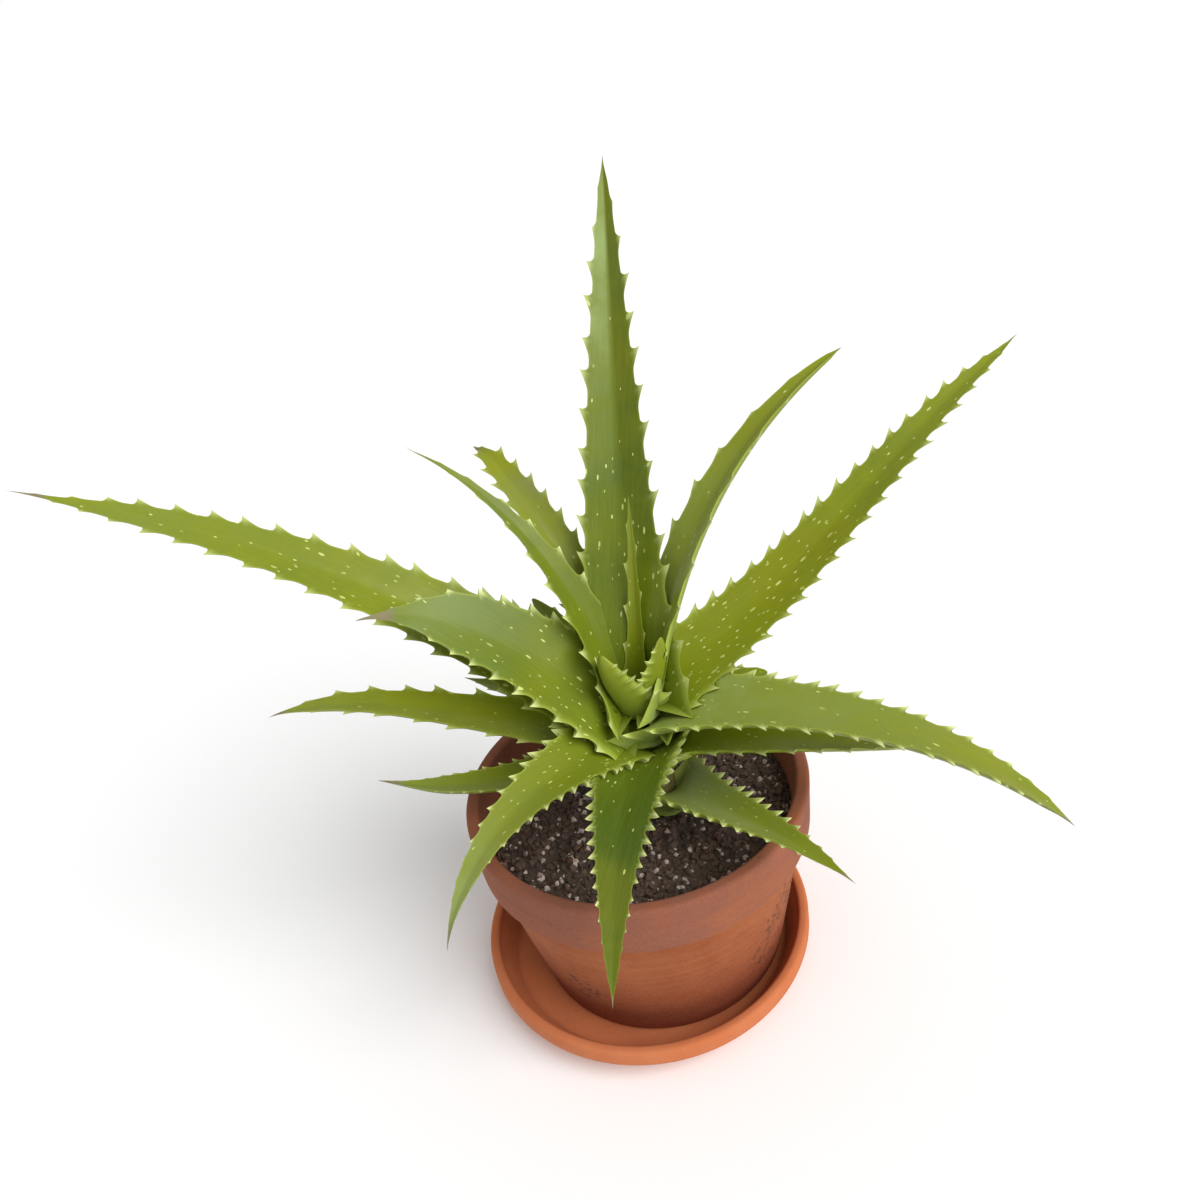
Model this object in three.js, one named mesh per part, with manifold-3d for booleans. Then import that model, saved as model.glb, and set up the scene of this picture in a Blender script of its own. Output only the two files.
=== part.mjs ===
// A potted aloe: a toothed rosette on a short stem, in a terracotta pot that stands in a saucer.
// Millimetres, +Z up. The origin is the centre of the saucer's flat underside.

import * as THREE from 'three';
import { mergeVertices } from 'three/addons/utils/BufferGeometryUtils.js';
import Module from 'manifold-3d';

const wasm = await Module();
wasm.setup();

// ---------------------------------------------------------------- driving dimensions

const GAP = 0.3;                    // between pieces that rest on each other
const ROUND_SIDES = 40;             // sides of the pot and the saucer

const SAUCER_FLOOR = 4.8;           // thickness of the saucer's floor
const SAUCER_FOOT_RADIUS = 53;      // its flat underside
const SAUCER_HEIGHT = 17;
const LIP_RADIUS = 65.9;            // outside of the saucer's upright lip
const LIP_DEPTH = 7.6;              // how far the lip reaches down
const LIP_WALL = 4.1;
const LIP_STEP = 2.2;               // how far the lip stands out over the wall below it
const SAUCER_FLOOR_RADIUS = 55.6;
const EDGE_RADIUS = 1.2;            // of the rounded rims of the pot and the saucer
const FOOT_BEVEL = 1.6;             // at the lower edges of the pot and the saucer

const POT_X = 5.4;                  // the pot stands off-centre in its saucer
const POT_Y = 0.7;
const RIM_RADIUS = 65;
const RIM_HEIGHT = 88;              // above the ground
const COLLAR_HEIGHT = 20.5;
const COLLAR_RADIUS = 64.3;         // at the collar's lower edge
const COLLAR_STEP = 2.7;            // from the collar in to the body
const COLLAR_BEVEL = 0.8;
const POT_BASE_RADIUS = 49.7;
const POT_WALL = 5;
const POT_FLOOR = 6;
const DRAIN_RADIUS = 6;

const SOIL_HEIGHT = 75;             // above the ground
const SOIL_EDGE = 2;                // how much lower the soil lies at the pot's wall
const SOIL_ROUGHNESS = 1.3;
const SOIL_SIDES = 28;

const STEM_X = POT_X + 6.5;         // the stem's axis
const STEM_Y = POT_Y + 1;
const STEM_FOOT = 48;               // the stem's lower end, in the soil
const STEM_SHOULDER = 90;           // above here the stem narrows to the heart
const STEM_TOP = 129;
const STEM_RADIUS = 9;
const STEM_TOP_RADIUS = 2;
const STEM_WAIST = 112;             // height at which the narrowing stem has its own ring
const STEM_SIDES = 14;
const HOLE_SIDES = 20;              // of the hole in the soil that it stands in

const TOOTH_SPACING = 8;            // and a little more on a long leaf
const FIRST_TOOTH = 12;             // from the leaf's base
const TOOTH_HEIGHT = 3.2;
const LAST_TOOTH = 0.97;            // as a share of the leaf's length
const TOOTH_HOOK = 0.45;            // how far a tooth leans to the leaf's tip, of its height
const ROWS_PER_TOOTH = 3;
const SHEATH_PITCH = 62;            // how steeply a leaf leaves the stem, in degrees
const SHEATH_LENGTH = 9;            // over which it bends out to its own pitch
const CLASP_LENGTH = 15;            // over which a leaf's base clasps the stem,
const CLASP_WIDTH = 0.3;            // how much wider it is there,
const CLASP_CURL = 0.6;             // and how much more its margins curl in
const CHANNEL = 0.16;               // depth of the channel along a leaf, of its half width
const BACK_SHARE = 0.62;            // where a leaf's back turns to its flanks, of its half width
const LEAF_ROOM = 0.45;             // kept clear round each leaf by the leaf below it
const CUT_TOLERANCE = 0.2;          // how far a cut leaf may be smoothed

// The leaves, from the heart outwards. Angles are in degrees. azimuth is where a leaf points, from +X
// towards +Y, and sweep how far it has turned by its tip. rise and tip are its pitch at each end, bend
// how late it goes from one to the other, and bow how much it arches between them. height is where it
// leaves the stem. roll and twist turn its face about its own length, at each end. taper is how soon
// it narrows.
const LEAF_FIELDS = ['name', 'azimuth', 'sweep', 'rise', 'tip', 'bend', 'bow', 'length', 'width',
  'height', 'roll', 'twist', 'taper'];
const LEAVES = [
  ['leaf_heart_front', 225, 0, 62, 76, 1, 0, 32, 21, 122, 0, 0, 0.6],
  ['leaf_heart_right', 325, 0, 66, 76, 1, 0, 34, 19, 121, 0, 0, 0.6],
  ['leaf_inner_upright', 50, 0, 80, 81, 1, 0, 75, 11, 124, 0, 0, 0.8],
  ['leaf_tall', 74, -3, 81, 64, 1, -9, 187, 34, 123, 0, 0, 0.8],
  ['leaf_back_right', 21, -2, 73, 14, 1.4, 0, 148, 23, 120, 0, -2, 0.64],
  ['leaf_back_left', 149, 0, 74, 15, 1.6, 2, 129, 27, 121, -25, -5, 1.35],
  ['leaf_behind_left', 124, -3, 73, 14, 1.4, 0, 122, 24, 118, -5, -10, 0.5],
  ['leaf_long_right', 12, 15, 16, 14, 1.9, 19, 191, 28, 117, 34, 12, 0.78],
  ['leaf_left_short', 183, -2, 38, -6, 2.2, 15, 109, 36, 116, -50, -27, 0.44],
  ['leaf_front_right', -31, 2, 13, -49, 1.6, 2, 155, 30, 112, 9, -5, 0.71],
  ['leaf_right_short', 4, 0, 8, 0, 1, 0, 48, 24, 109, 4, 0, 0.5],
  ['leaf_long_left', 167, -1, 46, 13, 1.1, -2, 240, 35, 109, -36, -20, 0.9],
  ['leaf_back_left_low', 126, 0, 40, 28, 1, 0, 64, 22, 108, 0, 0, 0.6],
  ['leaf_front_left', -136, 5, 11, -70, 2.1, 8, 115, 29, 105, -26, 6, 0.95],
  ['leaf_low_back_right', 58, 0, 18, 4, 1, 0, 54, 22, 103, 0, 0, 0.6],
  ['leaf_left', 176, -11, 14, -27, 2.9, 9, 141, 25, 100, -12, -6, 0.75],
  ['leaf_left_behind', 152, 0, 20, 5, 1.5, 0, 73, 20, 99, 0, 0, 0.7],
  ['leaf_low_back_left', 100, 0, 12, -2, 1, 0, 62, 22, 99, 0, 0, 0.6],
  ['leaf_under_right', -24, 0, 4, 2, 1.5, 0, 100, 24, 98, 6, 0, 0.6],
  ['leaf_front', -104, 6, 14, -23, 1.5, 1, 118, 31, 101, 0, -15, 0.92],
  ['leaf_low_left', 186, -1, -18, 26, 1.1, 4, 95, 21, 94, 0, 0, 0.65],
  ['leaf_low_right', -59, -2, 5, -6, 1.4, 16, 101, 27, 80, -12, 0, 0.94],
].map((row) => Object.fromEntries(row.map((value, i) => [LEAF_FIELDS[i], value])));

// ---------------------------------------------------------------- helpers

const degrees = THREE.MathUtils.degToRad;

// A closed geometry as a solid that can be cut and joined.
function toSolid(geometry) {
  geometry.deleteAttribute('normal');
  geometry.deleteAttribute('uv');
  const merged = mergeVertices(geometry, 1e-4);
  const index = Array.from(merged.index.array);
  const triVerts = [];
  for (let i = 0; i < index.length; i += 3) {
    const [a, b, c] = index.slice(i, i + 3);
    if (a !== b && b !== c && c !== a) triVerts.push(a, b, c);
  }
  return new wasm.Manifold(new wasm.Mesh({
    numProp: 3,
    vertProperties: new Float32Array(merged.attributes.position.array),
    triVerts: new Uint32Array(triVerts),
  }));
}

function toGeometry(solid) {
  const mesh = solid.getMesh();
  const geometry = new THREE.BufferGeometry();
  const positions = new Float32Array(mesh.numVert * 3);
  for (let v = 0; v < mesh.numVert; v++) {
    for (let k = 0; k < 3; k++) positions[3 * v + k] = mesh.vertProperties[mesh.numProp * v + k];
  }
  geometry.setAttribute('position', new THREE.BufferAttribute(positions, 3));
  geometry.setIndex(new THREE.BufferAttribute(new Uint32Array(mesh.triVerts), 1));
  return geometry;
}

// The largest body of a solid that a cut may have left in several.
function largest(solid) {
  return solid.decompose().sort((a, b) => b.volume() - a.volume())[0];
}

// A profile of [radius, height] pairs, listed from the outside in below to the inside above,
// turned about the upright axis.
function turned(profile, sides) {
  const points = profile.map(([radius, height]) => new THREE.Vector2(radius, height));
  const geometry = new THREE.LatheGeometry(points, sides);
  geometry.rotateX(Math.PI / 2);
  return geometry;
}

// A quarter-round edge as three points about a centre.
function rounded(r, z, radius, from, to) {
  return [0, 0.5, 1].map((t) => {
    const angle = degrees(from + (to - from) * t);
    return [r + radius * Math.cos(angle), z + radius * Math.sin(angle)];
  });
}

// ---------------------------------------------------------------- saucer, pot, soil and stem

function saucer() {
  const lipFoot = SAUCER_HEIGHT - LIP_DEPTH;
  const crown = SAUCER_HEIGHT - EDGE_RADIUS;
  const profile = [
    [0, 0],
    [SAUCER_FOOT_RADIUS, 0],
    [SAUCER_FOOT_RADIUS + FOOT_BEVEL, 0.6 * FOOT_BEVEL],
    [LIP_RADIUS - LIP_STEP, lipFoot - 0.6],
    [LIP_RADIUS - 0.3, lipFoot + 0.6],
    ...rounded(LIP_RADIUS - EDGE_RADIUS, crown, EDGE_RADIUS, 0, 90),
    ...rounded(LIP_RADIUS - LIP_WALL + EDGE_RADIUS, crown, EDGE_RADIUS, 90, 180),
    [SAUCER_FLOOR_RADIUS + 1.4, SAUCER_FLOOR + 2],
    [SAUCER_FLOOR_RADIUS, SAUCER_FLOOR],
    [0, SAUCER_FLOOR],
  ];
  return turned(profile, ROUND_SIDES);
}

const POT_FOOT = SAUCER_FLOOR + GAP;
const COLLAR_FOOT = RIM_HEIGHT - COLLAR_HEIGHT;
const BODY_TOP_RADIUS = COLLAR_RADIUS - COLLAR_STEP;

// The pot's inner radius at a height above the ground.
function potInside(z) {
  const t = (z - POT_FOOT) / (COLLAR_FOOT - POT_FOOT);
  return Math.min(THREE.MathUtils.lerp(POT_BASE_RADIUS, BODY_TOP_RADIUS, t), RIM_RADIUS) - POT_WALL;
}

function pot() {
  const floor = POT_FOOT + POT_FLOOR;
  const crown = RIM_HEIGHT - EDGE_RADIUS;
  const profile = [
    [DRAIN_RADIUS, POT_FOOT],
    [POT_BASE_RADIUS - FOOT_BEVEL, POT_FOOT],
    [POT_BASE_RADIUS, POT_FOOT + FOOT_BEVEL],
    [BODY_TOP_RADIUS, COLLAR_FOOT],
    [COLLAR_RADIUS - COLLAR_BEVEL, COLLAR_FOOT],
    [COLLAR_RADIUS, COLLAR_FOOT + COLLAR_BEVEL],
    ...rounded(RIM_RADIUS - EDGE_RADIUS, crown, EDGE_RADIUS, 0, 90),
    ...rounded(RIM_RADIUS - POT_WALL + EDGE_RADIUS, crown, EDGE_RADIUS, 90, 180),
    [potInside(COLLAR_FOOT), COLLAR_FOOT],
    [potInside(floor), floor],
    [DRAIN_RADIUS, floor],
    [DRAIN_RADIUS, POT_FOOT],
  ];
  return turned(profile, ROUND_SIDES);
}

// Soil that fills the pot to a rough top, with a plain hole for the stem.
function soil() {
  const floor = POT_FOOT + POT_FLOOR + GAP;
  const wall = (z) => potInside(z) - 2 * GAP;
  const profile = [[0, floor], [wall(floor), floor], [wall(COLLAR_FOOT), COLLAR_FOOT]];
  profile.push([wall(SOIL_HEIGHT - SOIL_EDGE), SOIL_HEIGHT - SOIL_EDGE]);
  for (const share of [0.94, 0.78, 0.6, 0.42, 0.22, 0]) {
    profile.push([share * wall(SOIL_HEIGHT), SOIL_HEIGHT]);
  }
  const geometry = turned(profile, SOIL_SIDES);
  const position = geometry.attributes.position;
  for (let i = 0; i < position.count; i++) {
    const [x, y, z] = [position.getX(i), position.getY(i), position.getZ(i)];
    if (z < SOIL_HEIGHT - 0.1) continue;
    const bump = Math.sin(0.21 * x + 1.3) * Math.cos(0.17 * y) + 0.7 * Math.sin(0.43 * x - 0.38 * y);
    position.setZ(i, z + SOIL_ROUGHNESS * bump);
  }
  const depth = 2 * (SOIL_HEIGHT - STEM_FOOT);
  const hole = new THREE.CylinderGeometry(STEM_RADIUS + GAP, STEM_RADIUS + GAP, depth, HOLE_SIDES);
  hole.rotateX(Math.PI / 2);
  hole.translate(STEM_X - POT_X, STEM_Y - POT_Y, STEM_FOOT - GAP + depth / 2);
  return toGeometry(toSolid(geometry).subtract(toSolid(hole)));
}

function stemRadius(z) {
  const t = THREE.MathUtils.clamp((z - STEM_SHOULDER) / (STEM_TOP - STEM_SHOULDER), 0, 1);
  return THREE.MathUtils.lerp(STEM_RADIUS, STEM_TOP_RADIUS, t);
}

function stem(growth) {
  const profile = [
    [0, STEM_FOOT - growth],
    [STEM_RADIUS - 2 + growth, STEM_FOOT - growth],
    [STEM_RADIUS + growth, STEM_FOOT + 3],
    [STEM_RADIUS + growth, STEM_SHOULDER],
    [stemRadius(STEM_WAIST) + growth, STEM_WAIST],
    [STEM_TOP_RADIUS + growth, STEM_TOP],
    [0, STEM_TOP + 1 + growth],
  ];
  const geometry = turned(profile, STEM_SIDES);
  geometry.translate(STEM_X, STEM_Y, 0);
  return geometry;
}

// ---------------------------------------------------------------- leaves

// The leaf's middle line from its base to its tip, with the frame that its section lies in.
function middleLine(leaf, rows) {
  const base = Math.max(stemRadius(leaf.height) - 1, 0.4);
  const azimuth = degrees(leaf.azimuth);
  const point = new THREE.Vector3(
    STEM_X + base * Math.cos(azimuth), STEM_Y + base * Math.sin(azimuth), leaf.height);
  const step = leaf.length / rows;
  const frames = [];
  for (let row = 0; row <= rows; row++) {
    const s = row / rows;
    const own = leaf.rise + (leaf.tip - leaf.rise) * s ** leaf.bend + leaf.bow * Math.sin(Math.PI * s);
    const lift = Math.max(SHEATH_PITCH - leaf.rise, 0) * Math.exp(-s * leaf.length / SHEATH_LENGTH);
    const pitch = degrees(own + lift);
    const yaw = degrees(leaf.azimuth + leaf.sweep * s ** 1.5);
    const roll = degrees(leaf.roll + (leaf.twist - leaf.roll) * s);
    const along = new THREE.Vector3(
      Math.cos(pitch) * Math.cos(yaw), Math.cos(pitch) * Math.sin(yaw), Math.sin(pitch));
    const side = new THREE.Vector3(-Math.sin(yaw), Math.cos(yaw), 0).applyAxisAngle(along, roll);
    frames.push({ s, point: point.clone(), along, side, up: along.clone().cross(side) });
    point.addScaledVector(along, step);
  }
  return frames;
}

// How high the teeth are at a row of the leaf, smaller towards the tip.
function toothHeight(leaf, row, rows) {
  const s = row / rows;
  if (s * leaf.length < FIRST_TOOTH || s > LAST_TOOTH) return 0;
  return TOOTH_HEIGHT * (1 - 0.6 * s) * Math.min(1, leaf.width / 20);
}

// The leaf's half width, the depth of its channel and its thickness, a share s along it.
function girth(leaf, s) {
  const sheath = Math.exp(-s * leaf.length / CLASP_LENGTH);
  const half = 0.5 * leaf.width * (1 - s) ** leaf.taper * (1 + CLASP_WIDTH * sheath);
  return { half, channel: half * (CHANNEL + CLASP_CURL * sheath), thick: half * (0.42 + 0.5 * s * s) };
}

// A point of the section: across the leaf, above its middle line and forward along it.
function placed(frame, across, up, forward) {
  return frame.point.clone()
    .addScaledVector(frame.side, across)
    .addScaledVector(frame.up, up)
    .addScaledVector(frame.along, forward);
}

// The leaf's section: a channel above, a rounded back below and two margins, with a tooth on each
// margin every few rows.
function section(leaf, frame, row, rows) {
  const { half, channel, thick } = girth(leaf, frame.s);
  const flank = BACK_SHARE * BACK_SHARE * channel - 0.75 * thick;
  const margin = (sign, step) => {
    const tooth = (row + step) % ROWS_PER_TOOTH === 0 ? toothHeight(leaf, row, rows) : 0;
    return placed(frame, sign * (half + tooth), channel * (1 + tooth / half), TOOTH_HOOK * tooth);
  };
  return [
    margin(1, 0),
    placed(frame, 0, 0, 0),
    margin(-1, 1),
    placed(frame, -BACK_SHARE * half, flank, 0),
    placed(frame, 0, -thick, 0),
    placed(frame, BACK_SHARE * half, flank, 0),
  ];
}

// The section of the space that a leaf needs for itself: as wide as its teeth, and fatter all round.
function roomSection(leaf, frame, row, rows) {
  const { half, channel, thick } = girth(leaf, frame.s);
  const flank = BACK_SHARE * BACK_SHARE * channel - 0.75 * thick - LEAF_ROOM;
  const reach = half + toothHeight(leaf, row, rows) + LEAF_ROOM;
  const edge = channel * reach / half;
  const heel = row === 0 ? -LEAF_ROOM : 0;
  return [
    placed(frame, reach, edge + LEAF_ROOM, heel),
    placed(frame, 0, LEAF_ROOM, heel),
    placed(frame, -reach, edge + LEAF_ROOM, heel),
    placed(frame, -reach, edge - 1.5 * LEAF_ROOM, heel),
    placed(frame, -BACK_SHARE * half, flank, heel),
    placed(frame, 0, -thick - LEAF_ROOM, heel),
    placed(frame, BACK_SHARE * half, flank, heel),
    placed(frame, reach, edge - 1.5 * LEAF_ROOM, heel),
  ];
}

// A closed skin through a leaf's sections, from its heel to its pointed tip.
function leafSkin(leaf, sectionOf, tipRoom) {
  const spacing = TOOTH_SPACING + leaf.length / 60;
  const rows = ROWS_PER_TOOTH * Math.round(leaf.length / spacing);
  const frames = middleLine(leaf, rows);
  const rings = frames.slice(0, -1).map((frame, row) => sectionOf(leaf, frame, row, rows));
  const sides = rings[0].length;
  const points = rings.flat();
  const tip = points.push(placed(frames[rows], 0, 0, tipRoom)) - 1;
  const underside = placed(frames[0], 0, -girth(leaf, 0).thick, 0);
  const heel = points.push(rings[0][1].clone().lerp(underside, 0.5)) - 1;
  const faces = [];
  for (let k = 0; k < sides; k++) {
    const next = (k + 1) % sides;
    for (let row = 0; row + 1 < rings.length; row++) {
      const [a, b] = [row * sides + k, row * sides + next];
      faces.push(a, b, b + sides, a, b + sides, a + sides);
    }
    const last = (rings.length - 1) * sides;
    faces.push(last + k, last + next, tip);
    faces.push(next, k, heel);
  }
  const geometry = new THREE.BufferGeometry().setFromPoints(points);
  geometry.setIndex(faces);
  return geometry;
}

// All leaves from the heart down, each cut clear of the stem and of the leaves above it.
function rosette() {
  const taken = [toSolid(stem(GAP))];
  return LEAVES.map((leaf) => {
    let solid = toSolid(leafSkin(leaf, section, 0));
    for (const room of taken) solid = solid.subtract(room);
    taken.push(toSolid(leafSkin(leaf, roomSection, 2 * LEAF_ROOM)));
    const smooth = largest(solid).asOriginal().simplify(CUT_TOLERANCE);
    return { name: leaf.name, geometry: toGeometry(largest(smooth)) };
  });
}

// ---------------------------------------------------------------- the plant in its pot

const MATERIALS = {
  saucer: new THREE.MeshStandardMaterial({ color: 0xb4603a, roughness: 0.85, metalness: 0 }),
  pot: new THREE.MeshStandardMaterial({ color: 0xa5603f, roughness: 0.9, metalness: 0 }),
  soil: new THREE.MeshStandardMaterial({ color: 0x2b211b, roughness: 1, metalness: 0 }),
  stem: new THREE.MeshStandardMaterial({ color: 0x6f7a3c, roughness: 0.7, metalness: 0 }),
  leaf: new THREE.MeshStandardMaterial({ color: 0x6e7d34, roughness: 0.5, metalness: 0 }),
};

function piece(name, geometry, material) {
  const mesh = new THREE.Mesh(geometry, material);
  mesh.name = name;
  return mesh;
}

const plant = new THREE.Group();
plant.add(piece('saucer', saucer(), MATERIALS.saucer));

const standing = new THREE.Group();
standing.position.set(POT_X, POT_Y, 0);
standing.add(piece('pot', pot(), MATERIALS.pot));
standing.add(piece('soil', soil(), MATERIALS.soil));
plant.add(standing);

plant.add(piece('stem', stem(0), MATERIALS.stem));
for (const leaf of rosette()) plant.add(piece(leaf.name, leaf.geometry, MATERIALS.leaf));

export default plant;
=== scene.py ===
"""A potted aloe: toothed leaves on a short stem, soil, a terracotta pot and its saucer."""

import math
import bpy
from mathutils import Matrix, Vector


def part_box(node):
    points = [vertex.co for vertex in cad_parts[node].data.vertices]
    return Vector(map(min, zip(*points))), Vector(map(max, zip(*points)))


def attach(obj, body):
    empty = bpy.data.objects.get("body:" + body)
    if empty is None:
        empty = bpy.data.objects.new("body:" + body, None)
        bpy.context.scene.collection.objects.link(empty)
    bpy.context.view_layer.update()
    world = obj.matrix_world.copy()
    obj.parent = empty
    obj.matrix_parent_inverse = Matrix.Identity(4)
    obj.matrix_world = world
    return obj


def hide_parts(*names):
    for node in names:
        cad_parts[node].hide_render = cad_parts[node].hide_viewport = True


bl_info = {
    "name": "Potted Aloe",
    "version": (1, 0, 0),
    "blender": (4, 5, 0),
    "location": "View3D > Sidebar > Aloe",
    "description": "Builds a potted aloe: toothed leaves, gritty soil, a terracotta pot and its saucer",
    "category": "Add Mesh",
}

import bmesh
import bpy
import numpy as np
from bpy.props import FloatProperty, FloatVectorProperty, IntProperty, PointerProperty
from mathutils import Matrix, Quaternion, Vector, noise

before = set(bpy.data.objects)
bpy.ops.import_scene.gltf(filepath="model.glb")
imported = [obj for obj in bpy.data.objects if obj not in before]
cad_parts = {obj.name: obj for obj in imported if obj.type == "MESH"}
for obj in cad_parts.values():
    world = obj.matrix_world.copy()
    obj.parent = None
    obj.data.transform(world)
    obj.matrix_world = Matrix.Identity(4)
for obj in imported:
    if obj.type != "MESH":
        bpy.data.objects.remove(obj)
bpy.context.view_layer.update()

MM = 0.001


def node_box(node):
    """A frame node's lowest and highest corners, in millimetres."""
    low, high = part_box(node)
    return low / MM, high / MM


SAUCER_LOW, SAUCER_HIGH = node_box("saucer")
POT_LOW, POT_HIGH = node_box("pot")
SOIL_LOW, SOIL_HIGH = node_box("soil")
STEM_LOW, STEM_HIGH = node_box("stem")
POT_X = (POT_LOW.x + POT_HIGH.x) / 2
POT_Y = (POT_LOW.y + POT_HIGH.y) / 2
STEM_X = (STEM_LOW.x + STEM_HIGH.x) / 2
STEM_Y = (STEM_LOW.y + STEM_HIGH.y) / 2

# ---- the forms of the leaves

# Lengths are in millimetres and angles in degrees. azimuth is where a leaf points, from +X towards +Y,
# and sweep how far it has turned by its tip. rise and tip are its pitch at each end, bend how late it
# goes from one to the other, and bow how much it arches between them. height is where it leaves the
# stem. roll and twist turn its face about its own length, at each end. taper is how soon it narrows.
# The second line of each leaf is its finish. slim narrows it, teeth is the spacing of its teeth, and
# fold how deep the crease along its middle is, of its half width. shade runs from yellow-green at 0 to
# deep green at 1, partly the leaf's own colour and partly painted shade. frost is its bloom of
# wax together with painted sheen, towards the tip or, where it is negative, towards the base, and lean
# how much more of it one half carries, a painted reflection on that half. blush is how brown the leaf
# is, and spots how densely it is flecked. dry is the length of its withered tip, curl how far that bends
# up and pinch how much it shrinks. bare is the share of the leaf over which its teeth fade towards the
# tip, and horn how pale they are.
LEAF_FIELDS = ("key", "azimuth", "sweep", "rise", "tip", "bend", "bow", "length", "width", "height",
               "roll", "twist", "taper", "slim", "teeth", "fold", "shade", "frost", "lean", "blush",
               "spots", "dry", "curl", "pinch", "bare", "horn")
LEAVES = (
    ("heart_front", 225, 0, 62, 76, 1, 0, 32, 21, 122, 0, 0, 0.6,
     0.95, 4, 0.1, 0.4, -0.3, 0, 0, 0.3, 0, 0, 0, 0.3, 1),
    ("heart_right", 325, 0, 66, 76, 1, 0, 34, 19, 121, 0, 0, 0.6,
     0.95, 4, 0.1, 0.25, -0.3, 0, 0, 0.3, 0, 0, 0, 0.3, 1),
    ("inner_upright", 50, 0, 80, 81, 1, 0, 75, 11, 124, 0, 0, 0.8,
     0.75, 15, 0.1, 0.15, 0.35, 0, 0.1, 0.1, 0, 0, 0, 0.3, 0.6),
    # The tall leaf's lean puts a painted reflection on one half of its bloom.
    ("tall", 74, -3, 81, 64, 1, -9, 187, 34, 123, 0, 0, 0.8,
     1, 12.4, 0.15, 0.84, 0.62, 0.9, 0.05, 0.55, 9, 0, 0.6, 0.26, 0.55),
    ("back_right", 21, -2, 73, 14, 1.4, 0, 148, 23, 120, 0, -2, 0.64,
     1, 15.5, 0.2, 0.06, -1.5, 0, 0, 0.25, 6, 0, 0.6, 0.5, 0.5),
    ("back_left", 149, 0, 74, 15, 1.6, 2, 129, 27, 121, -25, -5, 1.35,
     0.82, 13, 0.15, 0.74, 0.4, 0, 0, 0.2, 10, 1, 0.6, 0.7, 0.7),
    ("behind_left", 124, -3, 73, 14, 1.4, 0, 122, 24, 118, -5, -10, 0.5,
     0.86, 8.5, 0.1, 0.3, 0.12, 0, 0.24, 0.5, 14, -3, 0.62, 0.1, 0.4),
    ("long_right", 12, 15, 16, 14, 1.9, 19, 191, 28, 117, 34, 12, 0.78,
     1, 8.6, 0.06, 0.28, 0.06, 0, 0, 1, 12, 1, 0.6, 0.2, 0.6),
    ("left_short", 183, -2, 38, -6, 2.2, 15, 109, 36, 116, -50, -27, 0.44,
     1, 9, 0.04, 0.75, 0.5, 0, 0, 0.8, 36, 0, 0.9, 0.5, 0.8),
    ("front_right", -31, 2, 13, -49, 1.6, 2, 155, 30, 112, 9, -5, 0.71,
     1, 7.4, 0.04, 0.38, -1.1, 0, 0, 0.4, 14, 0, 0.6, 0.3, 1),
    ("right_short", 4, 0, 8, 0, 1, 0, 48, 24, 109, 4, 0, 0.5,
     1, 6, 0.06, 0.4, 0.05, 0, 0, 0.4, 0, 0, 0, 0.3, 1),
    ("long_left", 167, -1, 46, 13, 1.1, -2, 240, 35, 109, -36, -20, 0.9,
     1, 12.2, 0.08, 0.36, 0.22, 0, 0, 0.9, 44, 1, 0.62, 0.26, 0.45),
    ("back_left_low", 126, 0, 40, 28, 1, 0, 64, 22, 108, 0, 0, 0.6,
     1, 7, 0.1, 0.8, 0.05, 0, 0, 0.4, 0, 0, 0, 0.3, 0.8),
    ("front_left", -136, 5, 11, -70, 2.1, 8, 115, 29, 105, -26, 6, 0.95,
     1, 6.2, 0.05, 0.5, 0.75, 0, 0, 0.9, 24, 0, 0.5, 0.75, 1),
    ("low_back_right", 58, 0, 18, 4, 1, 0, 54, 22, 103, 0, 0, 0.6,
     1, 7.5, 0.1, 0.6, 0.1, 0, 0, 0.4, 4, 0, 0.5, 0.3, 0.8),
    ("left", 176, -11, 14, -27, 2.9, 9, 141, 25, 100, -12, -6, 0.75,
     1, 12.8, 0.1, 0.12, 0.12, 0, 0, 0.35, 24, 1, 0.6, 0.3, 0.5),
    ("left_behind", 152, 0, 20, 5, 1.5, 0, 73, 20, 99, 0, 0, 0.7,
     0.9, 8, 0.1, 0.5, 0.1, 0, 0, 0.4, 12, 0, 0.6, 0.3, 0.7),
    ("low_back_left", 100, 0, 12, -2, 1, 0, 62, 22, 99, 0, 0, 0.6,
     1, 7.5, 0.1, 0.6, 0.1, 0, 0, 0.4, 4, 0, 0.5, 0.3, 0.8),
    ("under_right", -24, 0, 4, 2, 1.5, 0, 100, 24, 98, 6, 0, 0.6,
     1, 9, 0.05, 0.15, 0, 0, 0, 0.3, 6, 0, 0.5, 0.3, 0.9),
    ("front", -104, 6, 14, -23, 1.5, 1, 118, 31, 101, 0, -15, 0.92,
     1, 5.5, 0.05, 1.1, 0, 0, 0, 0.45, 10, 0, 0.6, 0.6, 1),
    ("low_left", 186, -1, -18, 26, 1.1, 4, 95, 21, 94, 0, 0, 0.65,
     1, 5.5, 0.08, 0.6, 0.24, 0, 0, 0.3, 26, 1, 0.62, 0.85, 0.9),
    ("low_right", -59, -2, 5, -6, 1.4, 16, 101, 27, 80, -12, 0, 0.94,
     1, 6.2, 0.05, 0.34, -0.7, 0, 0, 0.4, 16, 0, 0.5, 0.5, 1),
)

STEM_RADIUS = 9.0
STEM_TOP_RADIUS = 2.0
STEM_SHOULDER = 90.0  # above here the stem narrows to the heart
STEM_TOP = 129.0

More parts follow.
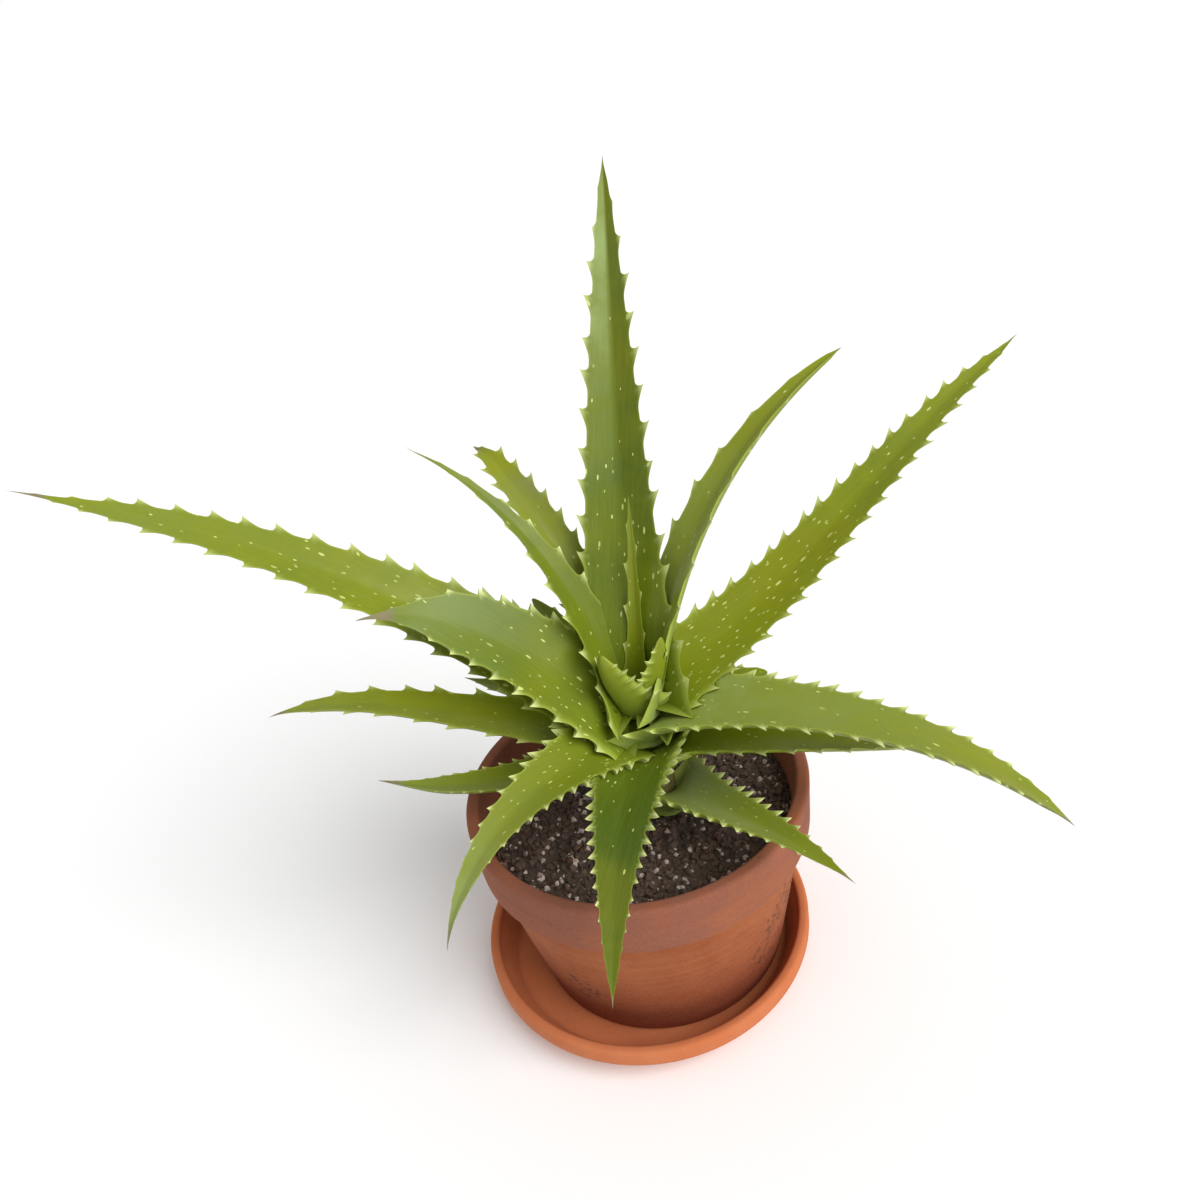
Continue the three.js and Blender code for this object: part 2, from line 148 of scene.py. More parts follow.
MIDDLE_STEP = 8.0  # rows of the middle line, and a little more on a long leaf,
STEPS_PER_CELL = 3  # come in threes
FIRST_TOOTH = 3.0  # from the leaf's base
LAST_TOOTH = 0.97  # as a share of the leaf's length
TOOTH_HOOK = 0.9  # how far a tooth leans to the leaf's tip, of its height
TOOTH_BACK = 0.56  # length of a tooth's long flank, of the spacing,
TOOTH_BACK_MOST = 6.5  # up to this
TOOTH_FRONT = 0.24  # length of its short flank, of the spacing
TOOTH_ROOT = 0.78  # where teeth start, of the leaf's half width
ROW_STEP = 0.48  # between the mesh's rows
SHEATH_PITCH = 62.0  # how steeply a leaf leaves the stem
SHEATH_LENGTH = 9.0  # over which it bends out to its own pitch
CLASP_LENGTH = 15.0  # over which a leaf's base clasps the stem,
CLASP_WIDTH = 0.3  # how much wider it is there,
CLASP_CURL = 0.6  # and how much more its margins curl in
CHANNEL = 0.16  # depth of the channel along a leaf, of its half width
THICKNESS = 0.42  # of a leaf's half width at its base,
TIP_THICKNESS = 0.5  # and how much more at its tip
LEAF_ROOM = 0.3  # kept clear round each leaf by the leaf below it

# Where the section has its points, across the upper face and back across the lower one.
UPPER = np.array([1, 0.975, 0.92, 0.84, 0.72, 0.55, 0.36, 0.17, 0, -0.17, -0.36, -0.55, -0.72, -0.84,
                  -0.92, -0.975, -1])
LOWER = np.array([-0.975, -0.92, -0.82, -0.65, -0.45, -0.22, 0, 0.22, 0.45, 0.65, 0.82, 0.92, 0.975])
ROOM_UPPER = np.array([1, 0.84, 0.55, 0.25, 0, -0.25, -0.55, -0.84, -1])
ROOM_LOWER = np.array([-1, -0.82, -0.45, 0, 0.45, 0.82, 1])


def unit(degrees):
    """Cosine and sine of an angle in degrees."""
    angle = np.radians(degrees)
    return np.cos(angle), np.sin(angle)


def smoothstep(low, high, value):
    """A smooth rise from 0 to 1 between two values."""
    t = np.clip((value - low) / (high - low), 0, 1)
    return t * t * (3 - 2 * t)


def stem_girth(height):
    """The stem's radius at a height, and how far up its narrowing top that is, from 0 to 1."""
    share = min(max((height - STEM_SHOULDER) / (STEM_TOP - STEM_SHOULDER), 0), 1)
    return STEM_RADIUS + (STEM_TOP_RADIUS - STEM_RADIUS) * share, share


class Leaf:
    """One leaf's form: its middle line, its girth and its teeth, in millimetres."""

    def __init__(self, row, tooth_height):
        self.__dict__.update(zip(LEAF_FIELDS, row))
        self.name = "leaf_" + self.key
        self.tooth_height = tooth_height * min(1, self.width / 20)
        cells = math.floor(self.length / (MIDDLE_STEP + self.length / 60) + 0.5)
        self.steps = STEPS_PER_CELL * cells
        self.random = np.random.default_rng(sum(map(ord, self.name)))
        self.knots = self.walk()
        self.lay_out()

    def facing(self, s):
        """Unit vectors along the leaf, across it and out of its upper face, at shares s of its length."""
        own = self.rise + (self.tip - self.rise) * s**self.bend + self.bow * np.sin(np.pi * s)
        lift = max(SHEATH_PITCH - self.rise, 0) * np.exp(-s * self.length / SHEATH_LENGTH)
        cos_pitch, sin_pitch = unit(own + lift)
        cos_yaw, sin_yaw = unit(self.azimuth + self.sweep * s**1.5)
        cos_roll, sin_roll = unit(self.roll + (self.twist - self.roll) * s)
        along = np.stack([cos_pitch * cos_yaw, cos_pitch * sin_yaw, sin_pitch], -1)
        level = np.stack([-sin_yaw, cos_yaw, 0 * sin_yaw], -1)
        side = level * cos_roll[:, None] + np.cross(along, level) * sin_roll[:, None]
        return along, side, np.cross(along, side)

    def walk(self):
        """The middle line's points, one for each of its rows."""
        base = max(stem_girth(self.height)[0] - 1, 0.4)
        cos_azimuth, sin_azimuth = unit(self.azimuth)
        start = [STEM_X + base * cos_azimuth, STEM_Y + base * sin_azimuth, self.height]
        along, _, _ = self.facing(np.arange(self.steps) / self.steps)
        steps = along * self.length / self.steps
        return np.vstack([start, start + np.cumsum(steps, 0)])

    def line(self, s):
        """Points on a smooth curve through the middle line, at shares s of the length."""
        knots = np.vstack([2 * self.knots[0] - self.knots[1], self.knots,
                           2 * self.knots[-1] - self.knots[-2]])
        k = np.minimum(np.floor(s * self.steps).astype(int), self.steps - 1)
        t = (s * self.steps - k)[:, None]
        a, b, c, d = (knots[k + i] for i in range(4))
        return 0.5 * (2 * b + (c - a) * t + (2 * a - 5 * b + 4 * c - d) * t**2
                      + (3 * b - a - 3 * c + d) * t**3)

    def girth(self, s):
        """Half width, depth of the channel, and thickness."""
        sheath = np.exp(-s * self.length / CLASP_LENGTH)
        half = 0.5 * self.width * (1 - s)**self.taper * (1 + CLASP_WIDTH * sheath)
        return half, half * (CHANNEL + CLASP_CURL * sheath), half * (THICKNESS + TIP_THICKNESS * s * s)

    def tooth(self, s):
        """How high a tooth is at a share s of the length."""
        young = 0.55 + 0.45 * smoothstep(0, 25, s * self.length)
        return self.tooth_height * young * (1 - 0.15 * s) * (0.02 + smoothstep(0, self.bare, 1 - s))

    def margin(self, first):
        """How far the teeth stand out of a margin whose first tooth is at a distance from the base."""
        out = np.zeros_like(self.distance)
        back = min(TOOTH_BACK * self.teeth, TOOTH_BACK_MOST)
        front = TOOTH_FRONT * self.teeth
        pitch = self.distance[1]
        for place in np.arange(first, LAST_TOOTH * self.length, self.teeth):
            at = pitch * round((place + self.teeth * self.random.uniform(-0.1, 0.1)) / pitch)
            height = self.tooth(at / self.length) * self.random.uniform(0.82, 1.04)
            x = self.distance - at
            rising = np.clip(1 + x / back, 0, 1)**2.1
            falling = np.clip(1 - x / front, 0, 1)**1.7
            out = np.maximum(out, height * np.where(x < 0, rising, falling))
        return out

    def lay_out(self):
        """Lays out the rows of the leaf's skin, closer together than its teeth."""
        pitch = self.teeth / (2 * round(self.teeth / ROW_STEP / 2))
        self.distance = np.arange(0, self.length - 0.3, pitch)
        self.s = self.distance / self.length
        self.along, self.side, self.up = self.facing(self.s)
        left = (self.length - self.distance) / self.dry if self.dry else 1 + self.s
        self.wilt = smoothstep(0, 1, 1 - left)
        slim = (1 + (self.slim - 1) * smoothstep(0, 20, self.distance)) * (1 - self.pinch * self.wilt)
        self.half, self.channel, self.thick = (size * slim for size in self.girth(self.s))
        self.right_teeth = self.margin(FIRST_TOOTH)
        self.left_teeth = self.margin(FIRST_TOOTH + self.teeth / 2)
        phase = self.random.uniform(0, 6.28, 2)
        self.wave = 0.18 * np.sin(self.distance / 9 + phase[0]) \
            + 0.12 * np.sin(self.distance / 4.1 + phase[1])

    def skin(self, upper, lower, spare=0.0):
        """Points of the leaf's skin in rings, at shares of its half width across the upper face and back
        across the lower one, a spare distance off it; and how far the teeth carry each point."""
        u = np.concatenate([upper, lower])[None]
        above = (np.arange(u.size) < upper.size)[None]
        half, channel, thick = self.half[:, None], self.channel[:, None], self.thick[:, None]
        reach = np.where(u > 0, self.right_teeth[:, None], self.left_teeth[:, None])
        out = reach * np.clip((np.abs(u) - TOOTH_ROOT) / (1 - TOOTH_ROOT), 0, 1)**1.5
        power = (1.75 - 0.6 * self.s)[:, None]
        rise = channel * np.abs(u)**np.where(above, power, 2.0)
        crease = self.fold * half * smoothstep(0.1, 0.5, self.s)[:, None] * (1 - np.abs(u))
        depth = np.where(above, crease, thick * (1 - np.minimum(u * u, 1))**0.6)
        across = np.sign(u) * (half * np.abs(u) + out + spare * (np.abs(u) == 1))
        high = rise + channel * out / np.maximum(half, 0.2) - depth + np.where(above, spare, -spare)
        high += self.wave[:, None] * np.minimum(half / 10, 1) * np.abs(u)**3
        ahead = TOOTH_HOOK * out * np.sqrt(out / self.tooth_height)
        middle = (self.line(self.s) + (self.curl * self.wilt**2)[:, None] * self.up)[:, None]
        points = middle + across[..., None] * self.side[:, None] + high[..., None] * self.up[:, None] \
            + ahead[..., None] * self.along[:, None]
        points[0] -= spare * self.along[0]
        tip = self.knots[-1] + self.curl * self.up[-1] + 2 * spare * self.along[-1]
        return np.vstack([points.reshape(-1, 3), points[0].mean(0), tip]), out


# ---- meshes


def add_object(name, data):
    """Puts a new object for a mesh, a light or a camera into the scene."""
    made = bpy.data.objects.new(name, data)
    bpy.context.scene.collection.objects.link(made)
    return made


def new_object(name, points, faces):
    """An object at the origin from points in millimetres."""
    mesh = bpy.data.meshes.new(name)
    mesh.from_pydata((np.asarray(points, float) * MM).tolist(), [], faces)
    mesh.update()
    return add_object(name, mesh)


def tube_faces(rings, sides, looped=False):
    """Faces of a skin through rings of points, which is closed by a heel point and a tip point after
    them or, where it is looped, by joining its last ring to its first."""
    k = np.arange(sides)
    after = (k + 1) % sides
    faces = []
    for row in range(rings - 1 + looped):
        low, high = row * sides, (row + 1) % rings * sides
        faces += np.stack([low + k, low + after, high + after, high + k], 1).tolist()
    if not looped:
        last, heel, tip = (rings - 1) * sides, rings * sides, rings * sides + 1
        faces += [[int(b), int(a), heel] for a, b in zip(k, after)]
        faces += [[int(last + a), int(last + b), tip] for a, b in zip(k, after)]
    return faces


def ring(x, y, radius, height, sides):
    """Points of a level ring about an upright axis."""
    angles = np.arange(sides) * 2 * np.pi / sides
    return [(x + radius * math.cos(angle), y + radius * math.sin(angle), height) for angle in angles]


def turned(name, profile, sides, x, y, poles=None):
    """A profile of (radius, height) turned about an upright axis, closed on itself or by two poles."""
    points = [point for radius, height in profile for point in ring(x, y, radius, height, sides)]
    faces = tube_faces(len(profile), sides, looped=poles is None)
    return new_object(name, points + [(x, y, height) for height in poles or ()], faces)


def arc(centre_r, centre_z, radius, start, end, steps=6):
    """Points of an arc about a centre, between two angles in degrees."""
    angles = np.radians(np.linspace(start, end, steps))
    return [(centre_r + radius * math.cos(a), centre_z + radius * math.sin(a)) for a in angles]


def rounded_rim(radius, wall, crown):
    """Points over the top of a wall, from its outer face to its inner one."""
    return [*arc(radius - EDGE_RADIUS, crown, EDGE_RADIUS, 0, 90),
            *arc(radius - wall + EDGE_RADIUS, crown, EDGE_RADIUS, 90, 180)]


def between(start, end, steps):
    """Points on a straight line, without its last one."""
    return [tuple(np.array(start) + (np.array(end) - start) * i / steps) for i in range(steps)]


def dress(piece, material, crease=60):
    """Gives a piece its material and smooth shading, but for edges steeper than an angle in degrees."""
    piece.data.materials.clear()
    piece.data.materials.append(material)
    piece.data.polygons.foreach_set("use_smooth", [True] * len(piece.data.polygons))
    piece.data.set_sharp_from_angle(angle=math.radians(crease))


def baked(piece):
    """Applies a piece's modifiers to its mesh."""
    bpy.context.view_layer.update()
    graph = bpy.context.evaluated_depsgraph_get()
    mesh = bpy.data.meshes.new_from_object(piece.evaluated_get(graph), preserve_all_data_layers=True,
                                           depsgraph=graph)
    old = piece.data
    piece.modifiers.clear()
    piece.data = mesh
    mesh.name = piece.name
    bpy.data.meshes.remove(old)


def keep_largest(piece):
    """Drops every loose part of a piece but the one with the most points."""
    shape = bmesh.new()
    shape.from_mesh(piece.data)
    left, parts = set(shape.verts), []
    while left:
        part, edge = set(), [left.pop()]
        while edge:
            vert = edge.pop()
            part.add(vert)
            linked = {link.other_vert(vert) for link in vert.link_edges} & left
            left -= linked
            edge.extend(linked)
        parts.append(part)
    largest = max(parts, key=len)
    bmesh.ops.delete(shape, geom=[v for v in shape.verts if v not in largest], context="VERTS")
    shape.to_mesh(piece.data)
    shape.free()


def overlap(a, b):
    """Whether the boxes of two objects overlap."""
    (low_a, high_a), (low_b, high_b) = (
        (np.min([v.co for v in o.data.vertices], 0), np.max([v.co for v in o.data.vertices], 0))
        for o in (a, b))
    return bool(np.all(low_a < high_b) and np.all(low_b < high_a))


def cut(piece, cutters):
    """Cuts a piece clear of every cutter that it meets."""
    near = [cutter for cutter in cutters if overlap(piece, cutter)]
    for cutter in near:
        difference = piece.modifiers.new("Clear", "BOOLEAN")
        difference.operation = "DIFFERENCE"
        difference.solver = "MANIFOLD"
        difference.object = cutter
    if near:
        baked(piece)
        keep_largest(piece)


def set_values(mesh, name, values):
    """Stores one number for each point of a mesh."""
    mesh.attributes.new(name, "FLOAT", "POINT").data.foreach_set("value", np.array(values, np.float32))


def set_colors(mesh, name, channels, ends):
    """Stores one RGBA value for each point of a leaf: of its rings, and then of its heel and its tip."""
    values = np.vstack([np.stack(channels, -1).reshape(-1, 4), ends])
    layer = mesh.color_attributes.new(name, "FLOAT_COLOR", "POINT")
    layer.data.foreach_set("color", values.astype(np.float32).ravel())


# ---- shader and geometry graphs


def linear(red, green, blue):
    """A colour in 0 to 255 as the eye sees it, as the linear values of a shader."""
    return tuple(((v / 255 + 0.055) / 1.055)**2.4 if v > 10 else v / 255 / 12.92
                 for v in (red, green, blue)) + (1.0,)


class Graph:
    """Adds nodes to a shader or geometry tree and links them."""

    def __init__(self, tree):
        self.tree = tree

    def node(self, kind, inputs=None, **settings):
        """A new node with its settings, and what goes into its sockets."""
        made = self.tree.nodes.new(kind)
        for key, value in settings.items():
            setattr(made, key, value)
        for key, value in (inputs or {}).items():
            self.feed(made.inputs[key], value)
        return made

    def feed(self, socket, value):
        """Links a socket to another one, or sets its own value."""
        if isinstance(value, bpy.types.NodeSocket):
            self.tree.links.new(value, socket)
        else:
            socket.default_value = value

    def value(self, kind, inputs=None, **settings):
        """The first output of a new node."""
        return self.node(kind, inputs, **settings).outputs[0]

    def math(self, operation, *values, clamp=False):
        return self.value("ShaderNodeMath", dict(enumerate(values)), operation=operation, use_clamp=clamp)

    def times(self, a, b):
        return self.math("MULTIPLY", a, b)

    def line(self, value, slope, offset, clamp=False):
        """A value times a slope, plus an offset."""
        return self.math("MULTIPLY_ADD", value, slope, offset, clamp=clamp)

    def mix(self, factor, a, b, blend="MIX"):
        made = self.node("ShaderNodeMix", {0: factor, 6: a, 7: b}, data_type="RGBA", blend_type=blend)
        return made.outputs[2]

    def over(self, color, *layers):
        """Lays colours over a colour, each through its own mask."""
        for mask, layer in layers:
            color = self.mix(mask, color, layer)
        return color

    def spread(self, value, low, high, to_low=0.0, to_high=1.0, smooth=True):
        """Maps a range of a value to another, clamped."""
        kind = "SMOOTHSTEP" if smooth else "LINEAR"
        return self.value("ShaderNodeMapRange", {0: value, 1: low, 2: high, 3: to_low, 4: to_high},
                          interpolation_type=kind)

    def noise(self, vector, scale, detail=3.0, roughness=0.55):
        return self.value("ShaderNodeTexNoise", {"Vector": vector, "Scale": scale, "Detail": detail,
                                                 "Roughness": roughness})

    def scaled(self, vector, x, y, z):
        return self.value("ShaderNodeVectorMath", {0: vector, 1: (x, y, z)}, operation="MULTIPLY")

    def group(self, name, **inputs):
        """The value of a shared node group, which is built the first time."""
        if name not in bpy.data.node_groups:
            GROUPS[name](name)
        return self.value("ShaderNodeGroup", inputs, node_tree=bpy.data.node_groups[name])


class Surface(Graph):
    """The graph of a new material, with its Principled shader and its object coordinates."""

    def __init__(self, name, sockets=None):
        self.material = bpy.data.materials.new(name)
        self.material.use_nodes = True
        super().__init__(self.material.node_tree)
        self.tree.nodes.clear()
        self.shader = self.node("ShaderNodeBsdfPrincipled", sockets)
        self.node("ShaderNodeOutputMaterial", {"Surface": self.shader.outputs[0]})
        self.place = self.node("ShaderNodeTexCoord").outputs["Object"]

    def mottle(self, scale, contrast):
        """Soft clouds round one half, in this material's own size and contrast."""
        return self.group("Mottle", Vector=self.place, Scale=scale, Contrast=contrast)

    def finish(self, color, roughness, height, distance, strength=1.0):
        """Feeds the shader a colour, a roughness and a bump, and gives the material."""
        bump = self.value("ShaderNodeBump", {"Height": height, "Distance": distance,
                                             "Strength": strength})
        for name, value in (("Base Color", color), ("Roughness", roughness), ("Normal", bump)):
            self.feed(self.shader.inputs[name], value)
        return self.material


def new_tree(name, kind, inputs, outputs):
    """The graph of a new node tree with named inputs and outputs, what it is given and what it gives."""
    tree = bpy.data.node_groups.new(name, kind)
    for side, sockets in (("INPUT", inputs), ("OUTPUT", outputs)):
        for label, socket in sockets.items():
            tree.interface.new_socket(name=label, in_out=side, socket_type="NodeSocket" + socket)
    graph = Graph(tree)
    return graph, graph.node("NodeGroupInput").outputs, graph.node("NodeGroupOutput").inputs


def build_speckle(name):
    """Scattered round flecks: a share of a Voronoi pattern's cells, each with one fleck."""
    graph, given, out = new_tree(name, "ShaderNodeTree", {
        "Vector": "Vector", "Size": "Float", "Density": "Float"}, {"Mask": "Float"})
    cells = graph.node("ShaderNodeTexVoronoi", {"Vector": given["Vector"], "Scale": 1.0},
                       voronoi_dimensions="2D" if name == "Flat Speckle" else "3D").outputs
    chance = graph.node("ShaderNodeSeparateColor", {0: cells["Color"]}).outputs
    size = graph.times(given["Size"], graph.spread(chance[1], 0, 1, 0.6, 1.25, False))
    fleck = graph.spread(graph.math("DIVIDE", cells["Distance"], size), 0.7, 1, 1, 0)
    shown = graph.math("LESS_THAN", chance[0], given["Density"])
    faint = graph.spread(chance[2], 0, 0.8, 0.4, 1, False)
    graph.feed(out[0], graph.times(fleck, graph.times(shown, faint)))


def build_mottle(name):
    """A soft cloudy value round one half, from two sizes of noise."""
    graph, given, out = new_tree(name, "ShaderNodeTree", {
        "Vector": "Vector", "Scale": "Float", "Contrast": "Float"}, {"Value": "Float"})
    large = graph.noise(given["Vector"], given["Scale"])
    small = graph.noise(given["Vector"], graph.times(given["Scale"], 4.3), 4, 0.6)
    both = graph.line(small, 0.4, graph.times(large, 0.6))
    apart = graph.math("SUBTRACT", both, 0.5)
    graph.feed(out[0], graph.line(apart, given["Contrast"], 0.5, clamp=True))


GROUPS = {"Speckle": build_speckle, "Flat Speckle": build_speckle, "Mottle": build_mottle}

# ---- materials


def leaf_material(settings):
    """Fleshy skin: olive to deep green, partly painted shade, flecked, with a bloom of wax and painted
    sheen, pale teeth and withered tips.
    """
    graph = Surface("Aloe Skin", {
        "Specular IOR Level": 0.22, "Subsurface Weight": 0.1, "Subsurface Radius": (0.7, 1.0, 0.15),
        "Subsurface Scale": 0.0025, "Coat Weight": 0.05, "Coat Roughness": 0.3})
    marks, tone = (graph.node("ShaderNodeAttribute", attribute_name=name).outputs
                   for name in ("marks", "tone"))
    horn, edge, dry = graph.node("ShaderNodeSeparateColor", {0: marks["Color"]}).outputs
    base, shade, frost = graph.node("ShaderNodeSeparateColor", {0: tone["Color"]}).outputs
    under, spots = marks["Alpha"], tone["Alpha"]
    skin = graph.value("ShaderNodeUVMap", uv_map="skin")

    cloud = graph.mottle(28, 1.7)
    fibre = graph.noise(graph.scaled(skin, 1.3, 0.05, 1), 1, 2)
    # The leaf's own green mixed with painted shade, between the sunlit and the shaded skin.
    depth = graph.math("ADD", shade, graph.line(cloud, 0.64, -0.32), clamp=True)
    # The bloom of wax, mottled, together with painted sheen.
    bloom_and_sheen_mask = graph.times(frost, graph.spread(cloud, 0.25, 0.75, 0.4, 1))
    long = graph.group("Flat Speckle", Vector=graph.scaled(skin, 0.25, 0.08, 1), Size=0.1,
                       Density=graph.times(spots, 0.5))
    short = graph.group("Flat Speckle", Vector=graph.scaled(skin, 0.42, 0.17, 1), Size=0.12,
                        Density=graph.times(spots, 0.6))
    flecks = graph.math("MAXIMUM", long, short)
    frayed = graph.math("ADD", dry, graph.line(cloud, 0.5, -0.25))
    withered = graph.spread(frayed, 0.12, 0.75)
    color = graph.over(
        graph.mix(depth, settings.light_green, settings.deep_green),
        (graph.spread(graph.noise(graph.place, 16, 2), 0.44, 0.66, 0, 0.28), settings.sunned_green),
        (graph.times(under, 0.35), settings.back_green),
        (graph.times(base, 0.6), settings.base_green),
        (graph.spread(fibre, 0.35, 0.75, 0, 0.05), settings.bloom),
        # The bloom layer carries painted sheen as well as wax.
        (graph.times(bloom_and_sheen_mask, 0.55), settings.bloom),
        (graph.times(flecks, 0.75), settings.fleck),
        (graph.times(edge, graph.line(base, 0.65, 0.25)), settings.margin),
        (graph.times(horn, 0.9), settings.tooth),
        (withered, graph.mix(cloud, settings.withered, settings.withered_pale)))
    gloss = graph.spread(cloud, 0.2, 0.8, 0.36, 0.5, False)
    ripple = graph.noise(graph.scaled(skin, 0.5, 0.06, 1), 1, 2)
    height = graph.line(flecks, 0.35, ripple)
    height = graph.line(withered, graph.noise(graph.place, 500), height)
    return graph.finish(color, graph.line(withered, 0.35, gloss), height, 0.00025, 0.6)


WET_AND_SHADED_CLAY = linear(190, 130, 92)  # what clay is multiplied by where it is wet and where painted shade darkens it
PIT_SHADE = linear(96, 58, 44)
DIRT = linear(46, 28, 20)
CLAY_GRAIN = linear(224, 160, 128)
LEAST_DIRT = 0.12
# Where dirt clings to the pot, and how far from there, in metres.
DIRTY_PLACES = (((0.055, -0.029, 0.062), 0.024), ((0.05, -0.034, 0.044), 0.022),
                ((0.042, -0.036, 0.026), 0.018), ((-0.028, -0.042, 0.03), 0.014))


def pot_soiling(graph, height, cloud):
    """Masks for the dust on the pot's collar and for the dirt that clings below it."""
    collar_foot = (POT_HIGH.z - COLLAR_HEIGHT) * MM
    collar = graph.spread(height, collar_foot - 0.0005, collar_foot + 0.001)
    dirt = LEAST_DIRT
    for centre, reach in DIRTY_PLACES:
        away = graph.node("ShaderNodeVectorMath", {0: graph.place, 1: centre}, operation="DISTANCE")
        dirt = graph.math("MAXIMUM", graph.spread(away.outputs[1], 0, reach, 1, 0), dirt)
    dust = graph.times(collar, graph.spread(cloud, 0.2, 0.8, 0.45, 0.95))
    return dust, graph.times(graph.spread(dirt, 0.1, 0.6), graph.math("SUBTRACT", 1, collar))


def clay_material(name, settings, light, dark, darkening_foot, darkening_top, darkening, pitting, soiled=False):
    """Unglazed terracotta: cloudy, gritty, faintly ringed from turning and pitted, with painted shade in
    the pits; darker below one height in metres and fading out by a second, partly wet and partly painted
    shade."""
    graph = Surface(name, {"Specular IOR Level": 0.3})
    place = graph.place
    height = graph.node("ShaderNodeSeparateXYZ", {0: place}).outputs[2]
    cloud = graph.mottle(22, 2.5)
    rings = graph.noise(graph.scaled(place, 6, 6, 700), 1, 2)
    wavering = graph.line(graph.math("SUBTRACT", graph.noise(place, 45, 4), 0.5), 0.022, height)
    # Darker towards the foot, fading with height: partly wet clay and partly painted shade where the
    # piece stands.
    damp_and_shade = graph.times(graph.spread(wavering, darkening_foot, darkening_top, 1, 0), darkening)
    color = graph.over(graph.mix(cloud, light, dark),
                       (graph.spread(rings, 0.4, 0.75, 0, 0.05), settings.lime),
                       (damp_and_shade, graph.mix(1, dark, WET_AND_SHADED_CLAY, "MULTIPLY")))
    grain = graph.noise(place, 1500, 4, 0.7)
    pits = graph.group("Speckle", Vector=graph.scaled(place, 220, 220, 220), Size=0.2, Density=pitting)
    soil = []
    if soiled:
        dust, dirt = pot_soiling(graph, height, cloud)
        color = graph.mix(dust, color, settings.collar_dust)
        scuffs = graph.group("Speckle", Vector=graph.scaled(place, 420, 420, 560), Size=0.55,
                             Density=0.8)
        scuffs = graph.times(scuffs, graph.spread(graph.noise(place, 90), 0.36, 0.5))
        soil = [(graph.times(graph.times(scuffs, dirt), 0.9), DIRT)]
    # The pits are coloured darker: painted shade in their hollows.
    color = graph.over(color, (graph.times(pits, 0.55), PIT_SHADE), *soil,
                       (graph.spread(grain, 0.3, 0.8, 0, 0.12), CLAY_GRAIN))
    relief = graph.line(pits, -1.4, graph.line(rings, 0.3, grain))
    return graph.finish(color, graph.spread(cloud, 0.2, 0.8, 0.8, 0.94, False), relief, 0.00014, 0.5)


def soil_material(settings):
    """Damp peat: nearly black brown, cloudy and rough."""
    graph = Surface("Peat")
    cloud = graph.mottle(90, 2.2)
    grit = graph.group("Speckle", Vector=graph.scaled(graph.place, 420, 420, 420), Size=0.28,
                       Density=0.16)
    color = graph.over(settings.peat_dark, (cloud, settings.peat_light), (grit, settings.grit))
    return graph.finish(color, graph.spread(cloud, 0.2, 0.8, 0.72, 0.95, False),
                        graph.noise(graph.place, 700, 5, 0.7), 0.0012)


def granule_material(name, light, dark, scale, roughness):
    """A crumb, chip or grain of the soil, cloudy between two colours."""
    graph = Surface(name)
    cloud = graph.mottle(scale, 2.4)
    return graph.finish(graph.mix(cloud, dark, light), roughness, graph.noise(graph.place, 1800),
                        0.0003, 0.8)


def stem_material(settings):
    """Green stem between brown, ragged leaf scars."""
    graph = Surface("Aloe Stem")
    cloud = graph.mottle(60, 2)
    scar = graph.node("ShaderNodeAttribute", attribute_name="scar").outputs["Fac"]
    worn = graph.math("ADD", scar, graph.line(cloud, 0.8, -0.4), clamp=True)
    color = graph.over(settings.stem_green, (cloud, settings.stem_brown), (worn, settings.scar))
    fibre = graph.noise(graph.scaled(graph.place, 900, 900, 90), 1)
    return graph.finish(color, graph.spread(worn, 0, 1, 0.5, 0.85, False), fibre, 0.0006, 0.8)


# ---- settings


def tint(name, description, red, green, blue):
    """A colour property with a default in 0 to 255."""
    return FloatVectorProperty(name=name, description=description, default=linear(red, green, blue),
                               size=4, subtype="COLOR", min=0.0, max=1.0)


def number(name, description, default, **limits):
    """A number property."""
    return FloatProperty(name=name, description=description, default=default, **limits)


class AloeLeafSettings(bpy.types.PropertyGroup):
    tooth_height: number("Tooth Height", "Height of the longest teeth", 0.0032, min=0.0, max=0.0035,
                         unit="LENGTH")
    # light_green and deep_green are the skin sunlit and shaded: mixing them by each leaf's shade is
    # partly painted shade.
    light_green: tint("Light Green", "Skin of the sunlit leaves", 134, 143, 14)
    deep_green: tint("Deep Green", "Skin of the shaded leaves", 62, 84, 2)
    sunned_green: tint("Sunned Green", "Yellower patches of skin", 140, 138, 12)
    back_green: tint("Back Green", "Skin of a leaf's underside", 98, 112, 22)
    base_green: tint("Base Green", "Skin where the leaves clasp the stem", 132, 150, 30)
    bloom: tint("Bloom", "Waxy bloom over the skin", 166, 186, 118)
    fleck: tint("Fleck", "Pale flecks along the leaves", 220, 228, 140)
    margin: tint("Margin", "Thin horny line along the leaf's edge", 178, 192, 84)
    tooth: tint("Tooth", "Tips of the teeth", 228, 236, 160)
    withered: tint("Withered", "Dry leaf tips", 106, 94, 74)
    withered_pale: tint("Withered Pale", "Paler parts of dry leaf tips", 152, 146, 108)


class AloePotSettings(bpy.types.PropertyGroup):
    clay_light: tint("Light Clay", "Lighter clay of the pot", 162, 90, 46)
    clay_dark: tint("Dark Clay", "Darker clay of the pot", 134, 64, 27)
    collar_dust: tint("Collar Dust", "Dusty film on the pot's collar", 133, 81, 64)
    lime: tint("Lime", "Lime bloom on the clay", 206, 160, 136)
    saucer_light: tint("Light Saucer", "Lighter clay of the saucer", 200, 120, 76)
    saucer_dark: tint("Dark Saucer", "Darker clay of the saucer", 190, 104, 58)
    sides: IntProperty(name="Sides", description="Sides of the turned pieces", default=160, min=24,
                       max=256)


